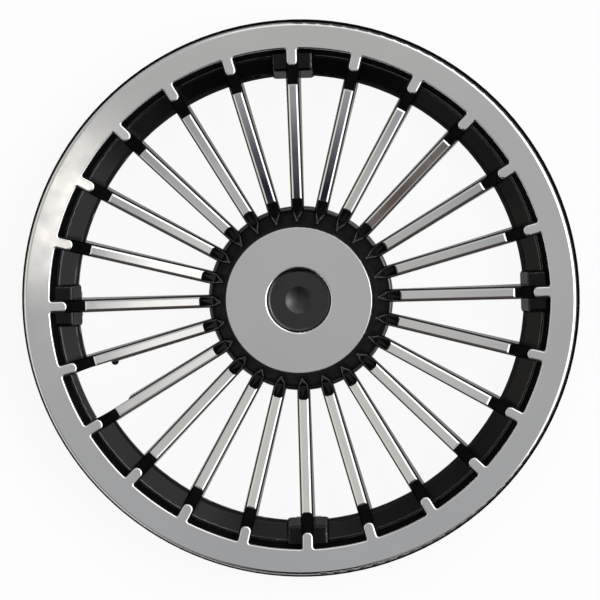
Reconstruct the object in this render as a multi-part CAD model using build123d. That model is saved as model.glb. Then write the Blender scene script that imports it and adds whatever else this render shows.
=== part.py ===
from build123d import *
from math import atan, cos, degrees, hypot, radians, sin, tan
import os

# A turbine wheel cover: one moulding with plated lands, held in a wheel by four spring clips.
# Millimetres. The cover lies on its back: +Z is its front, and z = 0 is what its clips stand on.
# A spoke lies on +X. Sections are drawn as (radius, height) and turned about Z.

# Overall sizes
OUTER_R = 114.3          # lip around the back of the side wall
BACK_Z = 10.5            # barrel's back edge, above the clips' feet
RING_RISE = 12.5         # ring face above the barrel's back edge
HUB_RISE = 7.5           # hub face above the ring face
WALL = 2.3               # moulding's wall

# Outer ring
LIP_W = 0.95             # lip beyond the side wall
LIP_T = 1.7
SEAT_DROP = 8.5          # ring face down to the seat on the wheel
SIDE_LEAN = 0.25         # draft of the side wall
SHOULDER_R = 1.5
RING_W = 11.05           # side wall to the ring's inner edge
PLATE_W = 3.0            # inner band of the ring face that carries the tabs
PLATE_T = 1.7

# Tabs on the ring's inner edge
TAB_L = 6.9
TAB_W = 4.4
TAB_CORNER_R = 0.8
TAB_EDGE_R = 0.75        # rounded front edge of the tabs and of the ring between them
PAD_STEP = 1.0           # black pad below the tab's face
PAD_RIM = 0.45           # pad beyond the tab

# Barrel band between the ring and the open centre
BARREL_W = 11.0          # ring's inner edge to the barrel's inner edge
CREASE_W = 2.7           # crease in the band, from the ring's inner edge
CREASE_DROP = 6.2
CREASE_R = 3.0
FOOT_W = 1.4             # level rim along the barrel's inner edge
FOOT_H = 2.4             # rim above the barrel's back edge
FOOT_R = 2.5
RIM_EDGE_R = 0.4

# Spokes
SPOKES = 24
SPOKE_TOP_W = 3.9
SPOKE_EDGE_W = 0.63      # sloping shoulder beside the top
SPOKE_EDGE_H = 1.1
SPOKE_DRAFT = 4.0        # flanks below the shoulder
SPOKE_BACK_DROP = 10.2   # ring face down to the spokes' level backs
SPOKE_OUT_DROP = 0.8     # land's outer end below the ring face
SPOKE_IN_DROP = 6.0      # land's inner end below the ring face
STRIP_W = 3.8            # plated land
STRIP_H = 0.65
STRIP_BEVEL = 0.6        # across the bevel
STRIP_BEVEL_H = 0.42
STRIP_SINK = 0.3
STRIP_OUT_GAP = 3.4      # barrel's inner edge to the land
STRIP_IN_GAP = 3.2       # hub flange to the land
CORE_W = 1.9             # channel in the back of a spoke, at its roof
CORE_ROOF = 2.7          # spoke's top down to the channel's roof
CORE_DRAFT = 5.0
CORE_END = 3.0           # land's end to the channel's end

# Hub
HUB_FLANGE_R = 37.8
HUB_FLANGE_DROP = 9.8    # ring face down to the flange's front
HUB_FLANGE_ROUND = 1.3
HUB_SKIRT_H = 6.2
HUB_MOUTH_R = 34.6       # straight mouth at the back of the hub
HUB_CONE_FOOT_R = 36.2
HUB_CONE_TOP_R = 31.0
HUB_FACE_R = 30.1
HUB_FACE_EDGE_R = 0.7
HUB_SHELF_DROP = 1.4     # hub face down to the shelf around it
HOLE_R = 13.2
HOLE_LEAN = 0.6
HOLE_EDGE_R = 0.8
HOLE_DEPTH = 2.0
HOLE_FLOOR_R = 1.4       # round at the edge of the floor
HEX_R = 10.0             # shallow hexagon on the floor, across its corners / 2
HEX_DEPTH = 0.25
DISH_R = 5.5             # dish in the middle of the floor
DISH_DEPTH = 1.3
DISH_EDGE_R = 0.5
GATE_R = 0.6
GATE_H = 0.4

# Gussets where the spokes run up the hub
GUSSET_W = 3.8           # across its foot, on the cone
GUSSET_L = 11.5          # along the cone
GUSSET_PROUD = 0.5
GUSSET_SINK = 0.4
GUSSET_FLANK = 28.0
GUSSET_FOOT = 0.3        # flange's front up the cone to the gusset's foot
GUSSET_RIB_R = 0.42      # ribs along the gusset's sides, meeting in one above its tip
GUSSET_RIB_L = 3.0

# Clip towers on the barrel, and the posts behind them
CLIPS = 4
TOWER_W = 16.8
TOWER_DROP = 4.6         # ring face down to the tower's front
TOWER_IN = 2.1           # barrel's inner edge out to the tower's front edge
TOWER_FOOT = 1.2         # barrel's inner edge in to the tower's foot
TOWER_FOOT_SPREAD = 0.7
TOWER_CORNER_R = 1.6
TOWER_EDGE_R = 1.5
POST_W = 10.4
POST_T = 2.8
POST_INSET = 0.1         # barrel's inner edge in to the post
POCKET_W = 13.0
POCKET_L = 4.0
NUB_W = 3.6
NUB_H = 1.6
NUB_PROUD = 0.5
NUB_GAP = 4.5            # barrel's back edge down to the nub's middle

# Spring clips
CLIP_W = 10.0
CLIP_T = 0.6
CLIP_FIT = 0.05          # clip to post
CLIP_BEND_R = 0.5
CLIP_LEG_GAP = 1.3       # barrel's back edge down to the inner leg
CLIP_KNEE_Z = 2.4
CLIP_BITE = 2.6          # reach of the biting edge beyond the post
CLIP_BITE_GAP = 2.1      # barrel's back edge down to the biting edge
WINDOW_FIT = 0.2         # clip's window around the post's nub

# Valve window between two spokes
VALVE_GAP = 13           # the gap that follows this spoke, counted from +X
VALVE_OUT = 5.2          # ring's inner edge in to the window
VALVE_IN = 11.0          # barrel's inner edge in to the end of the trimmed flanks
VALVE_FLANK = 0.05       # trimmed flank beyond the top of the spoke
VALVE_SLANT = 1.3        # slanted end of the trimmed flanks
VALVE_NUB_R = 1.45
VALVE_NUB_PROUD = 2.2
VALVE_NUB_H = 3.5

# Places that follow from the sizes
RING_Z = BACK_Z + RING_RISE
HUB_Z = RING_Z + HUB_RISE
SEAT_Z = RING_Z - SEAT_DROP
PAD_Z = RING_Z - PAD_STEP
TOWER_Z = RING_Z - TOWER_DROP
FLANGE_Z = RING_Z - HUB_FLANGE_DROP
SPOKE_BACK_Z = RING_Z - SPOKE_BACK_DROP
FOOT_Z = BACK_Z + FOOT_H
SKIRT_Z = FLANGE_Z - HUB_SKIRT_H
SIDE_R = OUTER_R - LIP_W
RING_IN_R = SIDE_R - RING_W
BARREL_R = RING_IN_R - BARREL_W
STRIP_OUT_R = BARREL_R - STRIP_OUT_GAP
STRIP_IN_R = HUB_FLANGE_R + STRIP_IN_GAP
PITCH = 360 / SPOKES
SLOPE = degrees(atan((SPOKE_IN_DROP - SPOKE_OUT_DROP) / (STRIP_OUT_R - STRIP_IN_R)))
POST_IN_R = BARREL_R - POST_INSET
POST_OUT_R = POST_IN_R + POST_T
POST_Z = CLIP_T + CLIP_FIT
NUB_Z = BACK_Z - NUB_GAP
PAST = 5.0               # how far cutting shapes run past what they cut
NEAR = 0.5               # how near a corner lies to the circle it is looked for on


def behind(path, distance):
    """The path moved sideways, to the right of its direction, with its corners mitred."""
    sides = []
    for (x0, y0), (x1, y1) in zip(path, path[1:]):
        length = hypot(x1 - x0, y1 - y0)
        sides.append(((y1 - y0) / length, (x0 - x1) / length))
    moved = []
    for i, (x, y) in enumerate(path):
        ax, ay = sides[max(i - 1, 0)]
        bx, by = sides[min(i, len(sides) - 1)]
        share = distance / (1 + ax * bx + ay * by)
        moved.append((x + (ax + bx) * share, y + (ay + by) * share))
    return moved


def section(points, rounds=()):
    """A closed section; rounds gives (point, radius) for each rounded corner."""
    face = make_face(Polyline(*points, close=True))
    for (x, y), radius in rounds:
        corner = face.vertices().sort_by_distance(Vector(x, y, 0))[0]
        face = fillet(corner, radius)
    return face


def turned(face):
    return revolve(Plane.XZ * face, Axis.Z)


def around(shape, count):
    return [Rot(0, 0, i * 360 / count) * shape for i in range(count)]


# The barrel's front, from the ring's inner edge to the foot of the band
BAND = [
    (RING_IN_R, RING_Z),
    (RING_IN_R - CREASE_W, RING_Z - CREASE_DROP),
    (BARREL_R + FOOT_W, FOOT_Z),
]
RIM_FRONT = [(SIDE_R, SEAT_Z), (SIDE_R - SIDE_LEAN, RING_Z)] + BAND
RIM_BACK = behind(RIM_FRONT[::-1], WALL)[::-1]
RIM_BACK[0] = (SIDE_R - WALL, SEAT_Z)
RIM_MIDDLE = behind(BAND[::-1], WALL / 2)[::-1]

# The hub's side, from its face down to the flange
CONE_TOP = (HUB_CONE_TOP_R, HUB_Z - HUB_SHELF_DROP)
CONE_FOOT = (HUB_CONE_FOOT_R, FLANGE_Z)
CONE_LEAN = degrees(atan((CONE_FOOT[0] - CONE_TOP[0]) / (CONE_TOP[1] - CONE_FOOT[1])))
CONE_BACK = behind([CONE_FOOT, CONE_TOP], -WALL)


def make_rim():
    """Ring face, side wall, lip and barrel, as one turned section."""
    lip_top = (OUTER_R, SEAT_Z + LIP_T)
    shoulder = RIM_FRONT[1]
    rim_edge = (BARREL_R, FOOT_Z)
    front = [
        (OUTER_R, SEAT_Z),
        lip_top,
        (SIDE_R, SEAT_Z + LIP_T),
        shoulder,
        (RING_IN_R + PLATE_W, RING_Z),
        (RING_IN_R + PLATE_W, RING_Z - PLATE_T),
        (RING_IN_R, RING_Z - PLATE_T),
        BAND[1],
        BAND[2],
        rim_edge,
        (BARREL_R, BACK_Z),
    ]
    back = [(BARREL_R + WALL, BACK_Z)] + RIM_BACK[::-1]
    rounds = [
        (lip_top, LIP_W / 2),
        (shoulder, SHOULDER_R),
        (BAND[1], CREASE_R),
        (BAND[2], FOOT_R),
        (rim_edge, RIM_EDGE_R),
    ]
    return turned(section(front + back, rounds))


def make_plate():
    """Inner band of the ring face with its tabs, and the round along their front edge."""
    tip = RING_IN_R - TAB_L + TAB_W / 2
    tab = Pos((tip + RING_IN_R) / 2 + TAB_W / 2, 0) * Rectangle(RING_IN_R - tip + TAB_W, TAB_W)
    tab += Pos(tip, 0) * Circle(TAB_W / 2)
    plan = Circle(RING_IN_R + PLATE_W) - Circle(RING_IN_R)
    plan += around(tab, SPOKES)
    corners = [v for v in plan.vertices() if abs(hypot(v.X, v.Y) - RING_IN_R) < NEAR]
    plan = fillet(corners, TAB_CORNER_R)
    plate = Pos(0, 0, RING_Z - PLATE_T) * extrude(plan, PLATE_T)
    front = plate.faces().sort_by(Axis.Z)[-1]
    inner_edges = []
    for edge in front.edges():
        middle = edge @ 0.5
        if hypot(middle.X, middle.Y) < RING_IN_R + PLATE_W / 2:
            inner_edges.append(edge)
    return fillet(inner_edges, TAB_EDGE_R)


def make_hub():
    """Hub face with its recess, cone, flange and skirt, as one turned section."""
    floor_z = HUB_Z - HOLE_DEPTH
    face_edge = (HUB_FACE_R, HUB_Z)
    hole_edge = (HOLE_R, HUB_Z)
    floor_edge = (HOLE_R - HOLE_LEAN, floor_z)
    flange_edge = (HUB_FLANGE_R, FLANGE_Z)
    (foot_r, foot_z), (top_r, top_z) = CONE_BACK
    roof_z = HUB_Z - WALL
    roof_r = top_r + (top_z - roof_z) * tan(radians(CONE_LEAN))
    mouth_z = foot_z + (foot_r - HUB_MOUTH_R) / tan(radians(CONE_LEAN))
    outline = [
        (0, floor_z),
        floor_edge,
        hole_edge,
        face_edge,
        (HUB_FACE_R, CONE_TOP[1]),
        CONE_TOP,
        CONE_FOOT,
        flange_edge,
        (HUB_FLANGE_R, SKIRT_Z),
        (HUB_MOUTH_R, SKIRT_Z),
        (HUB_MOUTH_R, mouth_z),
        (roof_r, roof_z),
        (HOLE_R + WALL, roof_z),
        (HOLE_R + WALL - HOLE_LEAN, floor_z - WALL),
        (0, floor_z - WALL),
    ]
    rounds = [
        (floor_edge, HOLE_FLOOR_R),
        (hole_edge, HOLE_EDGE_R),
        (face_edge, HUB_FACE_EDGE_R),
        (flange_edge, HUB_FLANGE_ROUND),
    ]
    hub = turned(section(outline, rounds))
    hexagon = Rot(0, 0, 90) * RegularPolygon(HEX_R, 6)
    hub -= Pos(0, 0, floor_z - HEX_DEPTH) * extrude(hexagon, HEX_DEPTH + PAST)
    dish_z = floor_z - HEX_DEPTH
    ball_r = (DISH_R ** 2 + DISH_DEPTH ** 2) / (2 * DISH_DEPTH)
    hub -= Pos(0, 0, dish_z - DISH_DEPTH + ball_r) * Sphere(ball_r)
    dish_edge = hub.edges().sort_by_distance((DISH_R, 0, dish_z))[0]
    hub = fillet(dish_edge, DISH_EDGE_R)
    hub += Pos(0, 0, dish_z - DISH_DEPTH - GATE_H) * extrude(Circle(GATE_R), 2 * GATE_H)
    return hub


def make_web_space():
    """The room between the hub's wall and the barrel's wall, which the spokes end in."""
    outline = [
        (HUB_FLANGE_R - WALL / 2, SKIRT_Z - PAST),
        (HUB_FLANGE_R - WALL / 2, FLANGE_Z),
        (CONE_FOOT[0] - WALL / 2, FLANGE_Z),
        (CONE_TOP[0] - WALL / 2, CONE_TOP[1]),
        (CONE_TOP[0] - WALL / 2, HUB_Z),
        (RIM_MIDDLE[0][0], HUB_Z),
    ]
    outline += RIM_MIDDLE
    outline += [(BARREL_R + WALL / 2, BACK_Z), (BARREL_R + WALL / 2, SKIRT_Z - PAST)]
    return turned(section(outline))


def mirrored(right):
    """A section across a spoke, from the points of its right side, top first."""
    return section(right + [(-x, y) for x, y in right[::-1]])


def spoke_plane():
    """The sloping plane of a spoke's top, with its origin on the wheel's axis and x along the spoke."""
    land_z = RING_Z - SPOKE_OUT_DROP - STRIP_OUT_R * tan(radians(SLOPE))
    drop = STRIP_H / cos(radians(SLOPE))
    return Plane(
        origin=(0, 0, land_z - drop),
        x_dir=(cos(radians(SLOPE)), 0, sin(radians(SLOPE))),
        z_dir=(-sin(radians(SLOPE)), 0, cos(radians(SLOPE))),
    )


def bar_along(plane, face, start_r, end_r):
    """A section run along a spoke's top from one radius to another."""
    run = cos(radians(SLOPE))
    origin = plane.origin + plane.x_dir * (start_r / run)
    across = Plane(origin=origin, x_dir=(0, -1, 0), z_dir=-plane.x_dir)
    return extrude(across * face, -(end_r - start_r) / run)


def make_strip(plane):
    """Plated land on a spoke, ending on arcs about the wheel's axis, with bevelled edges."""
    run = cos(radians(SLOPE))
    outline = Circle(STRIP_OUT_R / run) - Circle(STRIP_IN_R / run)
    outline &= Pos(STRIP_OUT_R, 0) * Rectangle(2 * STRIP_OUT_R, STRIP_W)
    strip = plane * Pos(0, 0, -STRIP_SINK) * extrude(outline, STRIP_H + STRIP_SINK)
    front = strip.faces().sort_by(Axis(plane.origin, plane.z_dir))[-1]
    return chamfer(front.edges(), STRIP_BEVEL, STRIP_BEVEL_H, reference=front)


def make_gusset():
    """Tapering pad where a spoke runs up the hub's cone, with a thin rib on each side and one above it."""
    lean = radians(CONE_LEAN)
    up = Vector(-sin(lean), 0, cos(lean))
    out = Vector(cos(lean), 0, sin(lean))
    foot = Vector(CONE_FOOT[0], 0, CONE_FOOT[1]) + up * GUSSET_FOOT
    plane = Plane(origin=foot - out * GUSSET_SINK, x_dir=up, z_dir=out)
    outline = section([(0, -GUSSET_W / 2), (0, GUSSET_W / 2), (GUSSET_L, 0)])
    spread = GUSSET_SINK * tan(radians(GUSSET_FLANK))
    outline = offset(outline, spread, kind=Kind.INTERSECTION)
    pad = plane * extrude(outline, GUSSET_SINK + GUSSET_PROUD, taper=GUSSET_FLANK)
    tip = foot + up * GUSSET_L
    ends = [foot + Vector(0, side * GUSSET_W / 2, 0) for side in (-1, 1)] + [tip + up * GUSSET_RIB_L]
    ribs = Pos(tip) * Sphere(GUSSET_RIB_R)
    for end in ends:
        along = Plane(origin=tip, z_dir=end - tip)
        ribs += along * extrude(Circle(GUSSET_RIB_R), (end - tip).length)
    return pad + ribs


def make_spoke(web_space):
    """One spoke on +X with its pad under the tab, its plated land and its gusset."""
    plane = spoke_plane()
    half = SPOKE_TOP_W / 2
    side = half + SPOKE_EDGE_W
    flank_h = SPOKE_BACK_DROP + PAST
    foot = side + flank_h * tan(radians(SPOKE_DRAFT))
    across = mirrored([(half, 0), (side, -SPOKE_EDGE_H), (foot, -SPOKE_EDGE_H - flank_h)])
    body = bar_along(plane, across, HUB_FACE_R, SIDE_R)
    level = Box(2 * SIDE_R, 2 * SIDE_R, PAD_Z - SPOKE_BACK_Z)
    body &= Pos(0, 0, (PAD_Z + SPOKE_BACK_Z) / 2) * level
    tip = RING_IN_R - TAB_L + TAB_W / 2
    pad_w = TAB_W + 2 * PAD_RIM
    pad = Pos((tip + SIDE_R) / 2, 0) * Rectangle(SIDE_R - tip, pad_w)
    pad += Pos(tip, 0) * Circle(pad_w / 2)
    body += Pos(0, 0, FOOT_Z) * extrude(pad, PAD_Z - FOOT_Z)
    return (body & web_space) + make_strip(plane) + make_gusset()


def make_core(end_r):
    """Channel in the back of a spoke, out to the given radius."""
    plane = spoke_plane()
    half = CORE_W / 2
    foot = half + SPOKE_BACK_DROP * tan(radians(CORE_DRAFT))
    across = mirrored([(half, -CORE_ROOF), (foot, -CORE_ROOF - SPOKE_BACK_DROP)])
    return bar_along(plane, across, STRIP_IN_R + CORE_END, end_r)


def make_tower(web_space):
    """Clip tower on the barrel's front, drafted and rounded, on +X."""
    front_in = BARREL_R + TOWER_IN
    foot_in = BARREL_R - TOWER_FOOT
    out = RING_IN_R + WALL
    foot_w = TOWER_W + 2 * TOWER_FOOT_SPREAD
    front = Pos((front_in + out) / 2, 0, TOWER_Z)
    front *= RectangleRounded(out - front_in, TOWER_W, TOWER_CORNER_R)
    foot = Pos((foot_in + out) / 2, 0, BACK_Z)
    foot *= RectangleRounded(out - foot_in, foot_w, TOWER_CORNER_R + TOWER_FOOT_SPREAD)
    tower = loft([foot.face(), front.face()])
    top = tower.faces().sort_by(Axis.Z)[-1]
    tower = fillet(top.edges(), TOWER_EDGE_R)
    return tower & web_space


def make_post():
    """Post that stands back out of a tower, with the nub that holds the clip."""
    top = TOWER_Z - WALL
    lean = (TOWER_FOOT + TOWER_IN) * (top - BACK_Z) / (TOWER_Z - BACK_Z)
    corners = [(POST_IN_R, POST_Z), (POST_OUT_R, POST_Z)]
    rest = [(POST_OUT_R, top), (POST_IN_R + lean, top), (POST_IN_R, BACK_Z)]
    rounds = [(corner, CLIP_BEND_R + CLIP_FIT) for corner in corners]
    post = extrude(Plane.XZ * section(corners + rest, rounds), POST_W / 2, both=True)
    nub = Pos(POST_IN_R, 0, NUB_Z) * Box(2 * NUB_PROUD, NUB_W, NUB_H)
    return post + nub


def make_pocket():
    """Hollow behind a tower, outside its post."""
    top = TOWER_Z - WALL
    pocket = Pos(POST_OUT_R + POCKET_L / 2, 0, BACK_Z - PAST)
    return pocket * extrude(Rectangle(POCKET_L, POCKET_W), top - BACK_Z + PAST)


def make_valve_window():
    """Room for the wheel's valve stem: the barrel and the spokes' flanks cut back in one gap."""
    half = PITCH / 2
    flank = SPOKE_TOP_W / 2 + VALVE_FLANK
    in_r = BARREL_R - VALVE_IN
    out_r = RING_IN_R - VALVE_OUT
    plan = Circle(out_r) - Circle(in_r)
    sides = []
    for turn, side in ((-half, 1), (half, -1)):
        strip = Pos(out_r, side * (flank + out_r)) * Rectangle(4 * out_r, 2 * out_r)
        sides.append(Rot(0, 0, turn) * strip)
    plan = plan & sides[0] & sides[1]
    plan &= Pos(out_r, 0) * Rectangle(out_r * 2, out_r * 2)
    corners = [v for v in plan.vertices() if abs(hypot(v.X, v.Y) - in_r) < NEAR]
    plan = chamfer(corners, VALVE_SLANT)
    cutter = Pos(0, 0, SKIRT_Z - PAST) * extrude(plan, PAD_Z - STRIP_SINK - SKIRT_Z + PAST)
    return Rot(0, 0, (VALVE_GAP + 0.5) * PITCH) * cutter


def make_valve_nub():
    """Small half-round nub on the flank of the spoke before the valve window."""
    side = SPOKE_TOP_W / 2 + VALVE_NUB_PROUD - VALVE_NUB_R
    nub = Pos(BARREL_R - VALVE_IN, side, SPOKE_BACK_Z) * extrude(Circle(VALVE_NUB_R), VALVE_NUB_H)
    return Rot(0, 0, VALVE_GAP * PITCH) * nub


def make_cover():
    web_space = make_web_space()
    cover = make_rim() + make_plate() + make_hub()
    cover += around(make_spoke(web_space), SPOKES)
    cover += around(make_tower(web_space), CLIPS)
    cover -= around(make_pocket(), CLIPS)
    cover += around(make_post(), CLIPS)
    cover -= make_valve_window()
    cover += make_valve_nub()
    long_core = make_core(STRIP_OUT_R - CORE_END)
    short_core = make_core(BARREL_R - VALVE_IN - CORE_END)
    beside_window = (VALVE_GAP, VALVE_GAP + 1)
    cores = []
    for i in range(SPOKES):
        core = short_core if i in beside_window else long_core
        cores.append(Rot(0, 0, i * PITCH) * core)
    return cover - cores


def make_clip():
    """Folded strip: inner leg, web under the post, outer leg flaring out to its biting edge."""
    inner = POST_IN_R - CLIP_FIT
    outer = POST_OUT_R + CLIP_FIT
    path = [
        (inner, BACK_Z - CLIP_LEG_GAP),
        (inner, CLIP_T),
        (outer, CLIP_T),
        (outer, CLIP_KNEE_Z),
        (POST_OUT_R + CLIP_BITE - CLIP_T, BACK_Z - CLIP_BITE_GAP),
    ]
    outside = behind(path, CLIP_T)
    rounds = [(p, CLIP_BEND_R) for p in path[1:3]]
    rounds += [(p, CLIP_BEND_R + CLIP_T) for p in outside[1:3]]
    strip = extrude(Plane.XZ * section(path + outside[::-1], rounds), CLIP_W / 2, both=True)
    window = Box(4 * CLIP_T, NUB_W + 2 * WINDOW_FIT, NUB_H + 2 * WINDOW_FIT)
    return strip - Pos(inner, 0, NUB_Z) * window


os.makedirs("parts", exist_ok=True)
export_step(make_cover(), "parts/wheel_cover.step")
for number, clip in enumerate(around(make_clip(), CLIPS), 1):
    export_step(clip, f"parts/retaining_clip_{number}.step")
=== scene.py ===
from functools import partial, reduce
from math import atan, cos, hypot, pi, radians, sin

import bpy
from mathutils import Matrix, Vector


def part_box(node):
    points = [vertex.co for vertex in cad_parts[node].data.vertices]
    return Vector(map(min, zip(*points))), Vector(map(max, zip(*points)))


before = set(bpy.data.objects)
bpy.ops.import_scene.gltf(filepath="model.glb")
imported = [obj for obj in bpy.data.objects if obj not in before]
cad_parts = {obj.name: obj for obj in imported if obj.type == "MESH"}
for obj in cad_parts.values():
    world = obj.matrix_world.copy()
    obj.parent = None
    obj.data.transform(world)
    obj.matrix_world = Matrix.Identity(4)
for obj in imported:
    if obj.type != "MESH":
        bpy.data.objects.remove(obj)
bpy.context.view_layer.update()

MM = 0.001
FLATTEN = (1, 1, 0)      # takes the height out of a vector

# Sizes of the cover in millimetres
HUB_RISE = 7.5           # hub face above the ring face
LIP_W = 0.95             # lip beyond the side wall
LIP_DROP = 6.8           # ring face down to the lip's front
SHOULDER_R = 1.5
SHOULDER_IN = 0.2        # side's foot in to its top
RING_W = 11.05           # side wall to the ring's inner edge
PLATE_T = 1.7            # inner band of the ring face, which carries the tabs
TAB_L = 6.9
PAD_STEP = 1.0           # black pad below a tab's face
BARREL_W = 11.0          # ring's inner edge to the barrel's inner edge
SPOKES = 24
LAND_OUT_GAP = 3.4       # barrel's inner edge to the plated land on a spoke
LAND_OUT_DROP = 0.8      # ring face down to the land's outer end
LAND_IN_GAP = 3.2        # hub's flange to the land
LAND_IN_DROP = 6.0       # ring face down to the land's inner end
LAND_W = 3.8
LAND_H = 0.65
HUB_FACE_R = 30.1
HUB_EDGE_R = 0.7
HUB_SHELF_DROP = 1.4     # hub face down to the shelf around it
CONE_TOP_R = 31.0
CONE_FOOT_R = 36.2
HUB_FLANGE_R = 37.8
HUB_FLANGE_DROP = 9.8    # ring face down to the flange's front
HUB_FLANGE_ROUND = 1.3
HOLE_R = 13.2
HOLE_DEPTH = 2.0         # hub face down to the floor of its recess
RECESS_FLAT_R = 11.56    # floor of the recess inside its round
RECESS_ROUND = 1.4
HEX_DEPTH = 0.25         # shallow hexagon in that floor
DISH_R = 5.5             # dish in the middle of the hexagon
DISH_DEPTH = 1.3

# Places that follow from the sizes and the frame
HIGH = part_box("wheel_cover")[1]
OUTER_R = HIGH.x / MM
SIDE_R = OUTER_R - LIP_W
RING_IN_R = SIDE_R - RING_W
TAB_TIP_R = RING_IN_R - TAB_L
LAND_OUT_R = RING_IN_R - BARREL_W - LAND_OUT_GAP
LAND_IN_R = HUB_FLANGE_R + LAND_IN_GAP
HUB_Z = HIGH.z / MM
HUB_SHELF_Z = HUB_Z - HUB_SHELF_DROP
RECESS_Z = HUB_Z - HOLE_DEPTH
RING_Z = HUB_Z - HUB_RISE
LIP_TOP_Z = RING_Z - LIP_DROP
PLATE_BACK_Z = RING_Z - PLATE_T
PAD_Z = RING_Z - PAD_STEP
LAND_OUT_Z = RING_Z - LAND_OUT_DROP
LAND_IN_Z = RING_Z - LAND_IN_DROP
HUB_FLANGE_Z = RING_Z - HUB_FLANGE_DROP
DISH_BALL_R = (DISH_R**2 + DISH_DEPTH**2) / (2 * DISH_DEPTH)
DISH_MID_Z = RECESS_Z - HEX_DEPTH - DISH_DEPTH + DISH_BALL_R

# How a face is told by its place, in millimetres
TOUCH = 0.02             # slack at a boundary
INNER_EDGE_NEAR = 1.0    # how near the ring's inner edge a face of that edge lies
UPPER_BAND_W = 3.5       # ring's inner edge in past the crease of the barrel band
FLANGE_W = 7.0           # flange's edge in past the cone
CONE_SKIN = 0.12         # how far off the cone a face of it may lie
RECESS_REACH = 4.0       # shelf down past the deepest of the recess
PAD_REACH = 3.0          # how far below a spoke's top its face may lie
BESIDE = -99.0           # height given for a place that isn't on a spoke
RIB_FACE = 0.6           # faces of the gussets' ribs are smaller than this, in square millimetres
SAG = 0.6                # how far inside a round edge the middle of a flat face of it may lie
DISH_SAG = 0.15          # how far off the dish the middle of a flat face of it may lie

# How a face is told by its normal
LEVEL = 0.9              # its z above this counts as facing up
UPRIGHT = 0.5            # its z below this counts as facing sideways
INWARD = -0.7            # its outward share below this counts as facing the axis
ROUNDED = (0.54, 0.85)   # its z on the moulding's rounded edges
UPPER_BAND = (0.45, 0.54)  # its z on the barrel band outside its crease
ALIKE = 0.5              # cosine between it and the normal of the round surface it belongs to

# A normal's z where the plating ends on a rounded edge, and how much of it the line takes
RING_PLATE_END = 0.67
HUB_PLATE_END = 0.93
HOLE_PLATE_END = 0.55
PLATE_LINE = 0.02

# The photographed view
PHOTO_PX = 600
LIP_CENTRE_PX = (300.36, 298.68)
LIP_R_PX = 279.2
CAMERA_TILT = 3.75       # away from the wheel's axis, in degrees
CAMERA_TOWARDS = 48.7    # direction of that tilt, from the picture's right towards its top
PICTURE_TURN = 1.9       # the wheel's turn in the picture, anticlockwise
CAMERA_DISTANCE = 2.5    # in metres
SENSOR = 36.0            # its width in millimetres

# The floor, in metres
FLOOR_R = 3.0
FLOOR_SIDES = 96
FLOOR_WHITE = 0.9

# How much of the floor's whiteness is its own, for each kind of ray that meets it
FLOOR_GLOW = {"Is Camera Ray": 0.92, "Is Transmission Ray": 0.92, "Is Glossy Ray": 0.25}

# The key lamp, in metres and watts
KEY_PLACE = (0.95, 1.0, 1.5)
KEY_SIZE = (2.4, 0.4)
KEY_POWER = 6

# The room's tone from the horizon up: angle from straight up in degrees, colour
ROOM = [
    (90, (0.50, 0.50, 0.50)),
    (68, (0.50, 0.50, 0.50)),
    (58, (0.36, 0.36, 0.37)),
    (35, (0.36, 0.36, 0.37)),
    (0, (0.45, 0.45, 0.44)),
]

# What stands in the room: x and y of its direction, half sizes, turn in degrees, softness, colour
ROOM_SHAPES = [
    ((0.773, 0.207), (1.12, 0.58), -75, 0.25, (1.55, 1.55, 1.57)),       # white wall at the right
    ((-0.95, 0.05), (0.33, 0.60), 0, 0.4, (0.72, 0.69, 0.62)),           # pale wall at the left
    ((0.0, -0.98), (0.80, 0.36), 0, 0.3, (0.085, 0.065, 0.060)),         # dark wall in front
    ((0.21, -0.03), (0.125, 0.18), 0, 0.3, (1.25, 1.24, 1.21)),          # white panel
    ((-0.04, -0.56), (0.13, 0.42), 0, 0.06, (0.010, 0.013, 0.024)),      # dark screen
    ((-0.044, -0.048), (0.1945, 0.1945), 0, 0.05, (0.31, 0.32, 0.34)),   # round ceiling panel
    ((-0.04, 0.217), (0.60, 0.45), 0, 1.0, (0.58, 0.57, 0.545)),         # light on the ceiling
    ((0.0, 0.66), (0.36, 0.19), 0, 0.4, (1.25, 1.25, 1.25)),             # soft lamp at the back
    ((0.62, 0.08), (0.15, 0.30), 0, 0.4, (6.0, 6.0, 6.1)),               # softbox at the right
    ((-0.42, -0.42), (0.45, 0.12), -45, 0.4, (0.06, 0.05, 0.05)),        # dark rail
    ((-0.177, -0.190), (0.03, 0.028), -43, 0.6, (0.10, 0.072, 0.060)),   # brown beam
    ((-0.0826, -0.031), (0.0175, 0.0046), 64, 0.8, (2.4, 2.3, 2.15)),    # ceiling lamp
]

# The moulding's blacks: tone, range of roughness, specular level, grains to the metre and their depth
BLACKS = {
    "black_gloss": (0.0018, (0.09, 0.14), 0.25, 900, 0.000004),
    "black_dull": (0.0022, (0.45, 0.60), 0.03, 2200, 0.00004),
    "black_satin": (0.0040, (0.28, 0.36), 0.70, 700, 0.000003),
    "black_polished": (0.0018, (0.09, 0.12), 0.90, 900, 0.000002),
}
BLACK_TINT = (0.97, 1.0, 1.12)
BLACK_SHARES = (0.7, 1.3)  # darkest and lightest share of a black's tone
GRAIN_STRENGTH = 0.3
PLASTIC_IOR = 1.5

# Tones and ranges of roughness of the metals
CHROME_TONES = ((0.875, 0.872, 0.868), (0.92, 0.918, 0.914))
CHROME_HAZE = (0.03, 0.07)
EDGE_HAZE = (0.06, 0.10)
STEEL_TONES = ((0.38, 0.36, 0.33), (0.50, 0.49, 0.47))
STEEL_HAZE = (0.26, 0.44)
STEEL_STRETCH = (1, 1, 0.06)  # draws the rolling marks out along the strip

# Bumps of the metals: strength, and depth in metres
CHROME_WAVE = (1.0, 0.00001)
STEEL_MARK = (0.2, 0.00002)

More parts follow.
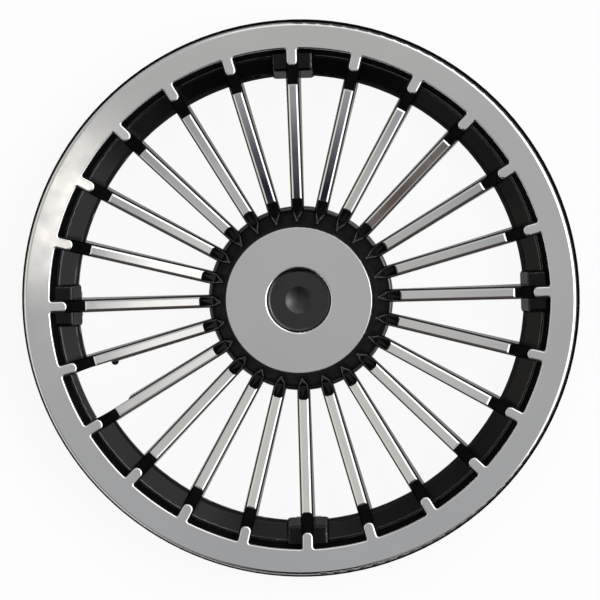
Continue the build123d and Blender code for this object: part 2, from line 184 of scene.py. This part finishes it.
# Noises: cells to the metre, and levels of detail
CHROME_TONE_NOISE = (18, 2)
CHROME_WAVE_NOISE = (25, 1)
HAZE_NOISE = (70, 4)
BLACK_TONE_NOISE = (120, 3)
BLACK_GLOSS_NOISE = (300, 3)
GRAIN_DETAIL = 2
STEEL_TONE_NOISE = (140, 3)
STEEL_MARK_NOISE = (900, 2)
NOISE_LOW, NOISE_HIGH = 0.3, 0.7  # between these lies most of a noise

# The cover's finishes, in the order of its material slots
GLOSS, DULL, SATIN, POLISHED, CHROME, DISH, RING_EDGE, HUB_EDGE, FLANGE_EDGE, RECESS_EDGE = range(10)

# Round edges: radius and height of the section's middle, its own radius, 1 if it bulges or -1 if hollow
ROUND_EDGES = {
    RING_EDGE: (SIDE_R - SHOULDER_IN - SHOULDER_R, RING_Z - SHOULDER_R, SHOULDER_R, 1),
    HUB_EDGE: (HUB_FACE_R - HUB_EDGE_R, HUB_Z - HUB_EDGE_R, HUB_EDGE_R, 1),
    FLANGE_EDGE: (HUB_FLANGE_R - HUB_FLANGE_ROUND, HUB_FLANGE_Z - HUB_FLANGE_ROUND, HUB_FLANGE_ROUND, 1),
    RECESS_EDGE: (RECESS_FLAT_R, RECESS_Z + RECESS_ROUND, RECESS_ROUND, -1),
}


def round_finish(centre, normal):
    """Finish of a face that lies on one of the round edges or in the dish, or None."""
    r = hypot(centre.x, centre.y)
    for finish, (middle_r, middle_z, radius, bulge) in ROUND_EDGES.items():
        if r < middle_r or (centre.z - middle_z) * bulge < 0:
            continue
        middle = Vector((centre.x * middle_r / r, centre.y * middle_r / r, middle_z))
        away = centre - middle
        if -SAG < away.length - radius < TOUCH and away.normalized().dot(normal) * bulge > ALIKE:
            return finish
    inward = Vector((0, 0, DISH_MID_Z)) - centre
    on_ball = abs(inward.length - DISH_BALL_R) < DISH_SAG
    if r < DISH_R and on_ball and inward.normalized().dot(normal) > LEVEL:
        return DISH
    return None


def is_plated(centre, normal):
    """Whether a face of the cover, by its middle in millimetres and its normal, lies on a plated land."""
    x, y, z = centre
    r = hypot(x, y)
    if r > TAB_TIP_R - TOUCH and z > PAD_Z + TOUCH:
        return True
    outward = (normal.x * x + normal.y * y) / r if r > 0 else 0
    if abs(r - RING_IN_R) < INNER_EDGE_NEAR and z > PLATE_BACK_Z and abs(normal.z) < UPRIGHT:
        return outward < INWARD
    if HOLE_R - TOUCH < r < HUB_FACE_R + TOUCH and z > HUB_SHELF_Z + TOUCH:
        return normal.z > HOLE_PLATE_END
    if LAND_IN_R - TOUCH < r < LAND_OUT_R + TOUCH:
        return height_on_spoke(x, y, z) > TOUCH
    return False


def height_on_spoke(x, y, z):
    """Height above the top of the nearest spoke, or far below zero beside it."""
    turn = Vector((x, y)).angle_signed(Vector((1, 0)))
    pitch = 2 * pi / SPOKES
    off = turn - round(turn / pitch) * pitch
    r = hypot(x, y)
    along, across = r * cos(off), r * sin(off)
    if abs(across) > LAND_W / 2 + TOUCH:
        return BESIDE
    slope = (LAND_OUT_Z - LAND_IN_Z) / (LAND_OUT_R - LAND_IN_R)
    land_z = LAND_OUT_Z - (LAND_OUT_R - along) * slope
    return z - (land_z - LAND_H / cos(atan(slope)))


def is_cone(x, y, z):
    """Whether a face of the cover lies on the hub's cone, between the gussets."""
    share = (z - HUB_FLANGE_Z) / (HUB_SHELF_Z - HUB_FLANGE_Z)
    cone_r = CONE_FOOT_R + (CONE_TOP_R - CONE_FOOT_R) * share
    return 0 < share < 1 and abs(hypot(x, y) - cone_r) < CONE_SKIN


def black_finish(centre, normal, area):
    """Finish of a face of the cover that isn't plated."""
    x, y, z = centre
    r = hypot(x, y)
    if r > SIDE_R + TOUCH:
        return DULL
    if HUB_FLANGE_R - FLANGE_W < r < HUB_FLANGE_R and HUB_FLANGE_Z < z < HUB_SHELF_Z:
        if is_cone(x, y, z):
            return DULL
        return POLISHED if area < RIB_FACE else GLOSS
    if RING_IN_R - UPPER_BAND_W < r < RING_IN_R and UPPER_BAND[0] < normal.z < UPPER_BAND[1]:
        return DULL
    if ROUNDED[0] < normal.z < ROUNDED[1]:
        return POLISHED
    if r < HOLE_R and z > HUB_SHELF_Z - RECESS_REACH and normal.z > 0:
        return SATIN
    if HUB_FLANGE_R < r < RING_IN_R and normal.z > LEVEL and height_on_spoke(x, y, z) > -PAD_REACH:
        return DULL
    return GLOSS


def empty_tree(owner):
    """The node tree of a material or world, without nodes."""
    owner.use_nodes = True
    owner.node_tree.nodes.clear()
    return owner.node_tree


def new_material(name):
    """A material with a Principled shader joined to its output, its node tree and that shader."""
    material = bpy.data.materials.new(name)
    tree = empty_tree(material)
    shader = tree.nodes.new("ShaderNodeBsdfPrincipled")
    output = tree.nodes.new("ShaderNodeOutputMaterial")
    tree.links.new(shader.outputs["BSDF"], output.inputs["Surface"])
    return material, tree, shader


def noise(tree, scale, detail, stretch=(1, 1, 1)):
    """Noise over the object's own coordinates; scale counts its cells to the metre."""
    place = tree.nodes.new("ShaderNodeTexCoord")
    mapping = tree.nodes.new("ShaderNodeMapping")
    mapping.inputs["Scale"].default_value = stretch
    texture = tree.nodes.new("ShaderNodeTexNoise")
    texture.inputs["Scale"].default_value = scale
    texture.inputs["Detail"].default_value = detail
    tree.links.new(place.outputs["Object"], mapping.inputs["Vector"])
    tree.links.new(mapping.outputs["Vector"], texture.inputs["Vector"])
    return texture.outputs["Fac"]


def spread(tree, value, low, high):
    """A noise value spread over a range."""
    node = tree.nodes.new("ShaderNodeMapRange")
    node.inputs["From Min"].default_value = NOISE_LOW
    node.inputs["From Max"].default_value = NOISE_HIGH
    node.inputs["To Min"].default_value = low
    node.inputs["To Max"].default_value = high
    tree.links.new(value, node.inputs["Value"])
    return node.outputs["Result"]


def between(tree, value, low, high):
    """A colour between two, by a noise value."""
    ramp = tree.nodes.new("ShaderNodeValToRGB")
    ends = ramp.color_ramp.elements
    for end, position, colour in zip(ends, (NOISE_LOW, NOISE_HIGH), (low, high)):
        end.position = position
        end.color = (*colour, 1)
    tree.links.new(value, ramp.inputs["Fac"])
    return ramp.outputs["Color"]


def painted(tree, under, mask, colour):
    """A colour laid over another by a mask."""
    mix = tree.nodes.new("ShaderNodeMix")
    mix.data_type = "RGBA"
    below, above = [s for s in mix.inputs if s.type == "RGBA"]
    above.default_value = (*colour, 1)
    tree.links.new(mask, mix.inputs["Factor"])
    tree.links.new(under, below)
    return [s for s in mix.outputs if s.type == "RGBA"][0]


def bump(tree, shader, height, strength, depth, normal=None):
    """Bump on a shader's normal, or on one that is given; depth is in metres."""
    node = tree.nodes.new("ShaderNodeBump")
    if normal is not None:
        tree.links.new(normal, node.inputs["Normal"])
    node.inputs["Strength"].default_value = strength
    node.inputs["Distance"].default_value = depth
    tree.links.new(height, node.inputs["Height"])
    tree.links.new(node.outputs["Normal"], shader.inputs["Normal"])


def math_step(tree, operation, first, second):
    """One step of arithmetic on a value and a constant or a second value."""
    node = tree.nodes.new("ShaderNodeMath")
    node.operation = operation
    tree.links.new(first, node.inputs[0])
    if isinstance(second, float):
        node.inputs[1].default_value = second
    else:
        tree.links.new(second, node.inputs[1])
    return node.outputs["Value"]


def vector_step(tree, operation, first, second=None):
    """One step of vector arithmetic on a vector and, where it needs one, a constant or a second vector."""
    node = tree.nodes.new("ShaderNodeVectorMath")
    node.operation = operation
    tree.links.new(first, node.inputs[0])
    if operation == "SCALE":
        node.inputs["Scale"].default_value = second
    elif isinstance(second, tuple):
        node.inputs[1].default_value = second
    elif second is not None:
        tree.links.new(second, node.inputs[1])
    return node.outputs["Vector"]


def edge_normal(tree, edge):
    """Normal of a round edge: away from the middle of its section, or towards it where it is hollow."""
    middle_r, middle_z, _, bulge = ROUND_EDGES[edge]
    place = tree.nodes.new("ShaderNodeTexCoord").outputs["Object"]
    outward = vector_step(tree, "NORMALIZE", vector_step(tree, "MULTIPLY", place, FLATTEN))
    on_circle = vector_step(tree, "SCALE", outward, middle_r * MM)
    middle = vector_step(tree, "ADD", on_circle, (0, 0, middle_z * MM))
    away = vector_step(tree, "NORMALIZE", vector_step(tree, "SUBTRACT", place, middle))
    return vector_step(tree, "SCALE", away, bulge)


def dish_normal(tree):
    """Normal of the dish, towards the middle of the ball that it is cut with."""
    place = tree.nodes.new("ShaderNodeTexCoord").outputs["Object"]
    away = vector_step(tree, "SUBTRACT", place, (0, 0, DISH_MID_Z * MM))
    return vector_step(tree, "SCALE", vector_step(tree, "NORMALIZE", away), -1)


def chrome():
    """Bright plating: a mirror with a slight waviness and a faint haze."""
    material, tree, shader = new_material("chrome_plating")
    shader.inputs["Metallic"].default_value = 1.0
    tone = between(tree, noise(tree, *CHROME_TONE_NOISE), *CHROME_TONES)
    tree.links.new(tone, shader.inputs["Base Color"])
    haze = spread(tree, noise(tree, *HAZE_NOISE), *CHROME_HAZE)
    tree.links.new(haze, shader.inputs["Roughness"])
    bump(tree, shader, noise(tree, *CHROME_WAVE_NOISE), *CHROME_WAVE)
    return material


def black_colour(tree, tone):
    """The moulding's black around a tone, a little uneven."""
    low, high = [[tone * share * tint for tint in BLACK_TINT] for share in BLACK_SHARES]
    return between(tree, noise(tree, *BLACK_TONE_NOISE), low, high)


def plated_edge(name, edge, end, finish):
    """Plating on a rounded edge down to a line, where its normal's z falls to end, and black below."""
    material, tree, shader = new_material(name)
    tone, _, specular, _, _ = BLACKS[finish]
    normal = edge_normal(tree, edge)
    tree.links.new(normal, shader.inputs["Normal"])
    parts = tree.nodes.new("ShaderNodeSeparateXYZ")
    tree.links.new(normal, parts.inputs[0])
    line = tree.nodes.new("ShaderNodeMapRange")
    line.inputs["From Min"].default_value = end - PLATE_LINE / 2
    line.inputs["From Max"].default_value = end + PLATE_LINE / 2
    tree.links.new(parts.outputs["Z"], line.inputs["Value"])
    plated = line.outputs["Result"]
    colour = painted(tree, black_colour(tree, tone), plated, CHROME_TONES[1])
    tree.links.new(colour, shader.inputs["Base Color"])
    tree.links.new(plated, shader.inputs["Metallic"])
    tree.links.new(spread(tree, noise(tree, *HAZE_NOISE), *EDGE_HAZE), shader.inputs["Roughness"])
    shader.inputs["Specular IOR Level"].default_value = specular
    return material


def black_plastic(name, finish, normal_of=None):
    """The moulding's black in one finish, a little uneven in tone and gloss."""
    material, tree, shader = new_material(name)
    tone, gloss, specular, grain, depth = BLACKS[finish]
    normal = normal_of(tree) if normal_of else None
    tree.links.new(black_colour(tree, tone), shader.inputs["Base Color"])
    tree.links.new(spread(tree, noise(tree, *BLACK_GLOSS_NOISE), *gloss), shader.inputs["Roughness"])
    shader.inputs["IOR"].default_value = PLASTIC_IOR
    shader.inputs["Specular IOR Level"].default_value = specular
    bump(tree, shader, noise(tree, grain, GRAIN_DETAIL), GRAIN_STRENGTH, depth, normal)
    return material


def spring_steel():
    """Satin strip steel, with rolling marks along it and straw tempering tints."""
    material, tree, shader = new_material("spring_steel")
    shader.inputs["Metallic"].default_value = 1.0
    tone = between(tree, noise(tree, *STEEL_TONE_NOISE), *STEEL_TONES)
    tree.links.new(tone, shader.inputs["Base Color"])
    marks = noise(tree, *STEEL_MARK_NOISE, STEEL_STRETCH)
    tree.links.new(spread(tree, marks, *STEEL_HAZE), shader.inputs["Roughness"])
    bump(tree, shader, marks, *STEEL_MARK)
    return material


def finish_cover():
    """Chrome on the moulding's plated lands, and its blacks."""
    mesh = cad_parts["wheel_cover"].data
    mesh.materials.clear()
    for name in BLACKS:
        mesh.materials.append(black_plastic(name, name))
    mesh.materials.append(chrome())
    mesh.materials.append(black_plastic("black_dish", "black_satin", dish_normal))
    mesh.materials.append(plated_edge("ring_edge", RING_EDGE, RING_PLATE_END, "black_gloss"))
    mesh.materials.append(plated_edge("hub_edge", HUB_EDGE, HUB_PLATE_END, "black_polished"))
    for name, edge in (("flange_edge", FLANGE_EDGE), ("recess_edge", RECESS_EDGE)):
        mesh.materials.append(black_plastic(name, "black_polished", partial(edge_normal, edge=edge)))
    for face in mesh.polygons:
        centre = face.center / MM
        finish = round_finish(centre, face.normal)
        if finish is None and is_plated(centre, face.normal):
            finish = CHROME
        elif finish is None:
            finish = black_finish(centre, face.normal, face.area / MM**2)
        face.material_index = finish


def finish_clips():
    """Spring steel on the four clips."""
    steel = spring_steel()
    for name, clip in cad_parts.items():
        if name.startswith("retaining_clip"):
            clip.data.materials.clear()
            clip.data.materials.append(steel)


def add_camera():
    """The photographed view: almost along the wheel's axis, a little from the upper right."""
    tilt = radians(CAMERA_TILT)
    towards = radians(CAMERA_TOWARDS - PICTURE_TURN)
    back = Vector((sin(tilt) * cos(towards), sin(tilt) * sin(towards), cos(tilt)))
    top = radians(90 - PICTURE_TURN)
    right = Vector((cos(top), sin(top), 0)).cross(back).normalized()
    up = back.cross(right)
    scale = OUTER_R * MM / LIP_R_PX
    off_right = (LIP_CENTRE_PX[0] - PHOTO_PX / 2) * scale
    off_up = (PHOTO_PX / 2 - LIP_CENTRE_PX[1]) * scale
    lip_centre = Vector((0, 0, LIP_TOP_Z * MM))
    place = lip_centre - right * off_right - up * off_up + back * CAMERA_DISTANCE
    data = bpy.data.cameras.new("photo_view")
    data.sensor_width = SENSOR
    data.lens = SENSOR * CAMERA_DISTANCE / (PHOTO_PX * scale)
    camera = bpy.data.objects.new("photo_view", data)
    bpy.context.scene.collection.objects.link(camera)
    turn = Matrix((right, up, back)).transposed().to_4x4()
    camera.matrix_world = Matrix.Translation(place) @ turn
    bpy.context.scene.camera = camera


def floor_material():
    """White that is partly the floor's own and partly what the lamps and the room give it."""
    material = bpy.data.materials.new("floor_white")
    tree = empty_tree(material)
    diffuse = tree.nodes.new("ShaderNodeBsdfDiffuse")
    diffuse.inputs["Color"].default_value = (FLOOR_WHITE, FLOOR_WHITE, FLOOR_WHITE, 1)
    glow = tree.nodes.new("ShaderNodeEmission")
    mix = tree.nodes.new("ShaderNodeMixShader")
    output = tree.nodes.new("ShaderNodeOutputMaterial")
    rays = tree.nodes.new("ShaderNodeLightPath").outputs
    shares = [math_step(tree, "MULTIPLY", rays[ray], most) for ray, most in FLOOR_GLOW.items()]
    share = reduce(partial(math_step, tree, "MAXIMUM"), shares)
    tree.links.new(share, mix.inputs["Fac"])
    tree.links.new(diffuse.outputs[0], mix.inputs[1])
    tree.links.new(glow.outputs[0], mix.inputs[2])
    tree.links.new(mix.outputs[0], output.inputs["Surface"])
    return material


def add_floor():
    """A round pale floor under the clips."""
    mesh = bpy.data.meshes.new("floor")
    turns = [2 * pi * i / FLOOR_SIDES for i in range(FLOOR_SIDES)]
    mesh.from_pydata([(FLOOR_R * cos(t), FLOOR_R * sin(t), 0) for t in turns], [], [range(FLOOR_SIDES)])
    mesh.materials.append(floor_material())
    floor = bpy.data.objects.new("floor", mesh)
    bpy.context.scene.collection.objects.link(floor)


def patch(tree, flat, centre, half, turn, soft):
    """Mask of a soft-edged ellipse, placed by the x and y of the directions that it covers."""
    place = tree.nodes.new("ShaderNodeMapping")
    place.vector_type = "TEXTURE"
    place.inputs["Location"].default_value = (*centre, 0)
    place.inputs["Rotation"].default_value = (0, 0, radians(turn))
    place.inputs["Scale"].default_value = (*half, 1)
    length = tree.nodes.new("ShaderNodeVectorMath")
    length.operation = "LENGTH"
    edge = tree.nodes.new("ShaderNodeMapRange")
    edge.interpolation_type = "SMOOTHSTEP"
    edge.inputs["From Min"].default_value = 1.0
    edge.inputs["From Max"].default_value = 1.0 - soft
    tree.links.new(flat, place.inputs["Vector"])
    tree.links.new(place.outputs["Vector"], length.inputs[0])
    tree.links.new(length.outputs["Value"], edge.inputs["Value"])
    return edge.outputs["Result"]


def add_world():
    """A studio room: its greys from the horizon up, and what stands in it."""
    world = bpy.data.worlds.new("studio")
    bpy.context.scene.world = world
    tree = empty_tree(world)
    direction = tree.nodes.new("ShaderNodeTexCoord").outputs["Generated"]
    parts = tree.nodes.new("ShaderNodeSeparateXYZ")
    tree.links.new(direction, parts.inputs[0])
    ramp = tree.nodes.new("ShaderNodeValToRGB")
    stops = ramp.color_ramp.elements
    while len(stops) < len(ROOM):
        stops.new(0.5)  # anywhere: every stop gets its place next
    for stop, (zenith, colour) in zip(stops, ROOM):
        stop.position = cos(radians(zenith))
        stop.color = (*colour, 1)
    tree.links.new(parts.outputs["Z"], ramp.inputs["Fac"])
    flat = vector_step(tree, "MULTIPLY", direction, FLATTEN)
    room = ramp.outputs["Color"]
    for centre, half, turn, soft, colour in ROOM_SHAPES:
        room = painted(tree, room, patch(tree, flat, centre, half, turn, soft), colour)
    background = tree.nodes.new("ShaderNodeBackground")
    output = tree.nodes.new("ShaderNodeOutputWorld")
    tree.links.new(room, background.inputs["Color"])
    tree.links.new(background.outputs[0], output.inputs["Surface"])


def add_lamp(name, place, width, height, power):
    """A long soft lamp aimed at the wheel, its width level, that reflections don't show."""
    data = bpy.data.lights.new(name, "AREA")
    data.shape = "RECTANGLE"
    data.size = width
    data.size_y = height
    data.energy = power
    lamp = bpy.data.objects.new(name, data)
    bpy.context.scene.collection.objects.link(lamp)
    lamp.location = place
    lamp.rotation_euler = Vector(place).to_track_quat("Z", "Y").to_euler()
    lamp.visible_glossy = False


finish_cover()
finish_clips()
add_floor()
add_world()
add_lamp("key_lamp", KEY_PLACE, *KEY_SIZE, KEY_POWER)
add_camera()
bpy.context.scene.view_settings.view_transform = "Standard"
